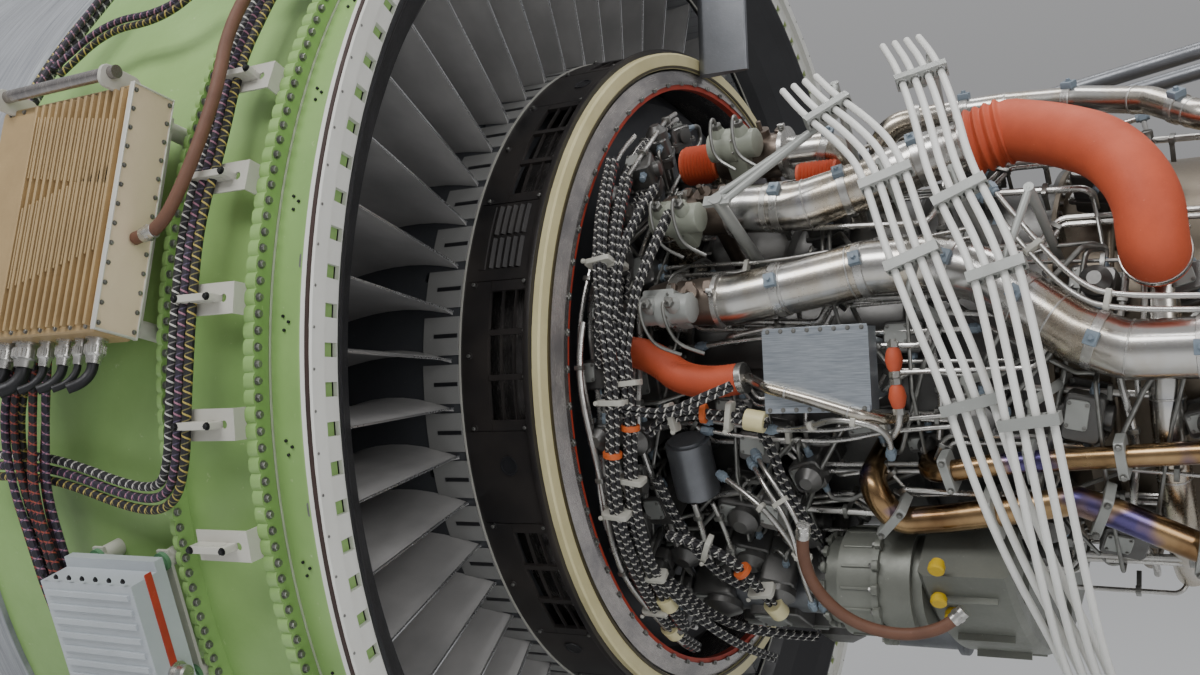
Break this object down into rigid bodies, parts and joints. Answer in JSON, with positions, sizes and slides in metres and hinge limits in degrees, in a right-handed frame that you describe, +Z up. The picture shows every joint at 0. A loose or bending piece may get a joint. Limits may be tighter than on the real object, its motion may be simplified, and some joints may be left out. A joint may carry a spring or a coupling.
{
  "type": "jet engine",
  "caption": "High-bypass turbofan jet engine without cowls: green fan case with control boxes, guide vanes, piped core with bleed valves, gearbox, turbine and exhaust cone.",
  "frame": {"origin": "centre of the fan case's front flange face, on the shaft line", "axes": "+X aft along the shafts, +Z up as the engine hangs, and the engine's left side, with the control boxes, faces -Y"},
  "size_m": [6.1003, 3.7379, 3.476],
  "materials": {
    "primer_green": "satin primer",
    "wrap_grey": "woven wrap under a grey coat",
    "duct_grey": "satin",
    "white_ring": "gloss",
    "black_composite": "satin",
    "vane_alloy": "satin",
    "frame_dark": "matt",
    "cream": "satin",
    "silver": "brushed",
    "seal_red": "matt",
    "mount_grey": "satin",
    "case_grey": "cast",
    "hot_alloy": "heat tinted",
    "bearing_steel": "ground",
    "cast_grey": "cast",
    "tan_box": "satin",
    "cream_cover": "satin",
    "bracket_steel": "bright",
    "isolator_teal": "matt",
    "box_blue_grey": "satin",
    "braid_black": "braided sleeve",
    "hose_brown": "satin",
    "duct_steel": "bright",
    "silicone_orange": "matt",
    "valve_grey": "satin",
    "actuator_grey": "satin",
    "cable_white": "satin",
    "bronze_duct": "heat tinted",
    "fan_carbon": "satin carbon",
    "rotor_steel": "machined"
  },
  "bodies": {
    "engine": {"fan_case": "primer_green", "containment_wrap": "wrap_grey", "duct_liner": "duct_grey", "rear_case": "primer_green", "rear_ring": "white_ring", "rear_lip": "black_composite", "outlet_guide_vanes": "vane_alloy", "splitter": "duct_grey", "fan_hub_frame": "frame_dark", "hub_fairing": "black_composite", "cowl_support_ring": "cream", "frame_ring": "silver", "fire_seal": "seal_red", "top_strut": "duct_grey", "forward_mount": "mount_grey", "aft_mount": "mount_grey", "thrust_links": "mount_grey", "compressor_case": "case_grey", "combustor_case": "hot_alloy", "combustor_liner": "hot_alloy", "turbine_case": "hot_alloy", "turbine_rear_frame": "hot_alloy", "exhaust_nozzle": "hot_alloy", "exhaust_cone": "hot_alloy", "main_bearings": "bearing_steel", "accessory_gearbox": "cast_grey", "generator": "cast_grey", "gearbox_accessories": "cast_grey", "oil_tank": "duct_grey", "control_box": "tan_box", "control_box_cover": "cream_cover", "control_box_handle": "bracket_steel", "box_isolators": "isolator_teal", "ignition_box": "box_blue_grey", "case_brackets": "bracket_steel", "case_harness": "braid_black", "brown_hoses": "hose_brown", "steel_ducts": "duct_steel", "duct_couplings": "bracket_steel", "orange_duct": "silicone_orange", "seal_boots": "silicone_orange", "valve_bodies": "valve_grey", "valve_actuators": "actuator_grey", "feeder_cables": "cable_white", "feeder_clamps": "bracket_steel", "sheet_box": "duct_grey", "bronze_ducts": "bronze_duct", "slim_tubes": "duct_steel", "core_harness": "braid_black"},
    "low_spool": {"spinner": "fan_carbon", "fan_disc": "rotor_steel", "fan_blades": "fan_carbon", "booster_rotor": "rotor_steel", "low_shaft": "rotor_steel", "low_turbine": "hot_alloy"},
    "high_spool": {"high_compressor": "rotor_steel", "high_turbine": "hot_alloy"},
    "bleed_valve_1": {"valve_disc_1": "duct_steel"},
    "bleed_valve_2": {"valve_disc_2": "duct_steel"},
    "bleed_valve_3": {"valve_disc_3": "duct_steel"}
  },
  "joints": [
    {"name": "low_spool_spin", "type": "hinge", "parent": "engine", "child": "low_spool", "pos_m": [0.545, 0, 0], "axis": [1, 0, 0], "continuous": true},
    {"name": "high_spool_spin", "type": "hinge", "parent": "engine", "child": "high_spool", "pos_m": [2.09, 0, 0], "axis": [1, 0, 0], "continuous": true},
    {"name": "bleed_valve_1_turn", "type": "hinge", "parent": "engine", "child": "bleed_valve_1", "pos_m": [2.44, -0.39143, 0.58033], "axis": [0, -0.5592, 0.829], "range_deg": [0, 80]},
    {"name": "bleed_valve_2_turn", "type": "hinge", "parent": "engine", "child": "bleed_valve_2", "pos_m": [2.35, -0.56631, 0.41145], "axis": [0, -0.809, 0.5878], "range_deg": [0, 80]},
    {"name": "bleed_valve_3_turn", "type": "hinge", "parent": "engine", "child": "bleed_valve_3", "pos_m": [2.36, -0.68037, 0.1646], "axis": [0, -0.972, 0.2351], "range_deg": [0, 80]}
  ]
}
